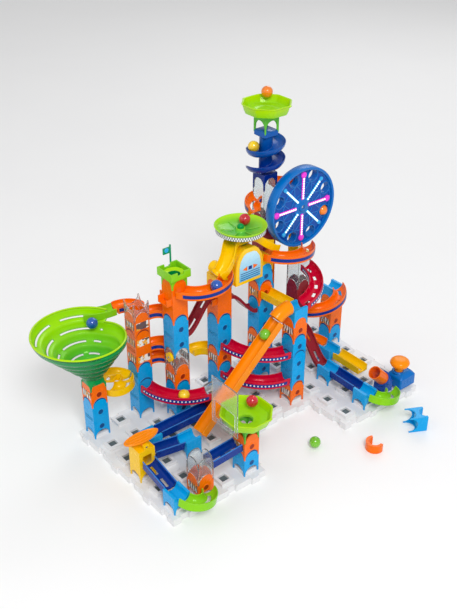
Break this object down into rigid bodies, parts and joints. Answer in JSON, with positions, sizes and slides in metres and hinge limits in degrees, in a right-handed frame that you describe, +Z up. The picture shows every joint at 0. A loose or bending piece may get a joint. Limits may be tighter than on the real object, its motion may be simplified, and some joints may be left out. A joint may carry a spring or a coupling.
{
  "type": "marble run",
  "caption": "Toy marble run: stacked square columns on white peg plates with half-pipe tracks, bowls, a spiral funnel, a big wheel, a spinning dish, a launcher and a long slide.",
  "frame": {"origin": "middle of the peg grid on the underside of the base plates, which rest on the floor", "axes": "+Z up; +Y along the longer side of the plates towards the launcher; +X towards the side with the long slide and the catcher"},
  "size_m": [0.3919, 0.5697, 0.4892],
  "materials": {
    "clear": "clear polished moulding",
    "deep_blue": "polished injection moulding",
    "green": "polished injection moulding",
    "lime": "polished injection moulding",
    "marble_blue": "polished injection moulding",
    "marble_green": "polished injection moulding",
    "marble_orange": "polished injection moulding",
    "marble_red": "polished injection moulding",
    "marble_yellow": "polished injection moulding",
    "maroon": "polished injection moulding",
    "navy": "polished injection moulding",
    "orange": "polished injection moulding",
    "pale_blue": "polished injection moulding",
    "pink": "polished injection moulding",
    "red": "polished injection moulding",
    "sky_blue": "polished injection moulding",
    "steel": "drawn wire",
    "white": "fine satin moulding",
    "window_blue": "polished injection moulding",
    "yellow": "polished injection moulding"
  },
  "bodies": {
    "frame": {"base_plates": "white", "cannon_bracket": "deep_blue", "cannon_tube": "orange", "castle_cup": "lime", "castle_flag": "green", "catcher_backboard": "clear", "catcher_bowl": "lime", "columns_blue": "sky_blue", "columns_clear": "clear", "columns_hubs": "orange", "columns_maroon": "maroon", "columns_orange": "orange", "dish_pivot": "green", "helix": "deep_blue", "house_chutes": "yellow", "house_drum": "yellow", "house_shell": "yellow", "house_window_panel": "window_blue", "launcher_housing": "deep_blue", "launcher_spring": "steel", "leaf_pin": "steel", "leaf_post": "yellow", "lime_u_tracks": "lime", "loading_trough": "yellow", "long_slide": "orange", "navy_straight_tracks": "navy", "orange_bend_tracks": "orange", "orange_u_tracks": "orange", "red_curved_tracks": "red", "slide_elbow": "orange", "spinner_pin": "steel", "spiral_funnel": "lime", "steep_tracks": "maroon", "top_bowl": "lime", "track_blocks": "sky_blue", "wheel_axle": "steel", "wheel_stand": "yellow", "yellow_bend_tracks": "yellow", "yellow_straight_track": "yellow"},
    "wheel": {"wheel_disc": "deep_blue", "wheel_spokes_pink": "pink", "wheel_spokes_blue": "pale_blue", "marble_orange_wheel": "marble_orange"},
    "dish": {"spinning_dish": "lime", "dish_cap": "green", "marble_red_dish": "marble_red"},
    "knob": {"launcher_knob": "orange"},
    "leaf": {"tipping_leaf": "orange"},
    "spinner": {"spinner_disc": "yellow"},
    "marble_yellow_crown": {"marble_yellow_crown": "marble_yellow"},
    "marble_blue_castle": {"marble_blue_castle": "marble_blue"},
    "marble_green_slide": {"marble_green_slide": "marble_green"},
    "marble_orange_top": {"marble_orange_top": "marble_orange"},
    "marble_red_catcher": {"marble_red_catcher": "marble_red"},
    "marble_blue_funnel": {"marble_blue_funnel": "marble_blue"},
    "marble_yellow_helix": {"marble_yellow_helix": "marble_yellow"},
    "marble_green_loose": {"marble_green_loose": "marble_green"},
    "loose_block": {"loose_block": "sky_blue"},
    "loose_bend": {"loose_bend": "orange"}
  },
  "joints": [
    {"name": "wheel_spin", "type": "hinge", "parent": "frame", "child": "wheel", "pos_m": [-0.06636, 0.14784, 0.3035], "axis": [1, 0, 0], "continuous": true},
    {"name": "dish_spin", "type": "hinge", "parent": "frame", "child": "dish", "pos_m": [-0.063, 0.021, 0.2975], "axis": [0, 0, 1], "continuous": true},
    {"name": "spinner_turn", "type": "hinge", "parent": "frame", "child": "spinner", "pos_m": [-0.0588, -0.1215, 0.131], "axis": [0, 1, 0], "continuous": true},
    {"name": "leaf_tip", "type": "hinge", "parent": "frame", "child": "leaf", "pos_m": [0.021, -0.231, 0.072], "axis": [1, 0, 0], "range_deg": [-12, 12]},
    {"name": "knob_press", "type": "slide", "parent": "frame", "child": "knob", "axis": [0, 0, -1], "range_m": [0, 0.008], "stiffness_N_per_m": 300, "springref_m": -0.002, "deforming": ["launcher_spring"]},
    {"name": "crown_marble_roll", "type": "hinge", "parent": "frame", "child": "marble_yellow_crown", "pos_m": [-0.09135, -0.07665, 0.0605], "axis": [0.0426, 0.0426, 0.9982], "range_deg": [-45, 22]},
    {"name": "castle_marble_roll", "type": "hinge", "parent": "frame", "child": "marble_blue_castle", "pos_m": [-0.06464, -0.063, 0.2405], "axis": [0, -0.0357, 0.9994], "range_deg": [-60, 15]},
    {"name": "slide_marble_roll", "type": "slide", "parent": "frame", "child": "marble_green_slide", "axis": [0, -0.7314, -0.682], "range_m": [0, 0.12]},
    {"name": "top_marble_lift", "type": "slide", "parent": "frame", "child": "marble_orange_top", "axis": [0, 0, 1], "range_m": [0, 0.03]},
    {"name": "catcher_marble_lift", "type": "slide", "parent": "frame", "child": "marble_red_catcher", "axis": [0, 0, 1], "range_m": [0, 0.03]},
    {"name": "funnel_marble_lift", "type": "slide", "parent": "frame", "child": "marble_blue_funnel", "axis": [0, 0, 1], "range_m": [0, 0.03]},
    {"name": "helix_marble_lift", "type": "slide", "parent": "frame", "child": "marble_yellow_helix", "axis": [0, 0, 1], "range_m": [0, 0.007]},
    {"name": "loose_marble_roll", "type": "slide", "parent": "frame", "child": "marble_green_loose", "axis": [0, 1, 0], "range_m": [-0.03, 0.03]},
    {"name": "loose_block_lift", "type": "slide", "parent": "frame", "child": "loose_block", "axis": [0, 0, 1], "range_m": [0, 0.05]},
    {"name": "loose_bend_lift", "type": "slide", "parent": "frame", "child": "loose_bend", "axis": [0, 0, 1], "range_m": [0, 0.05]}
  ]
}
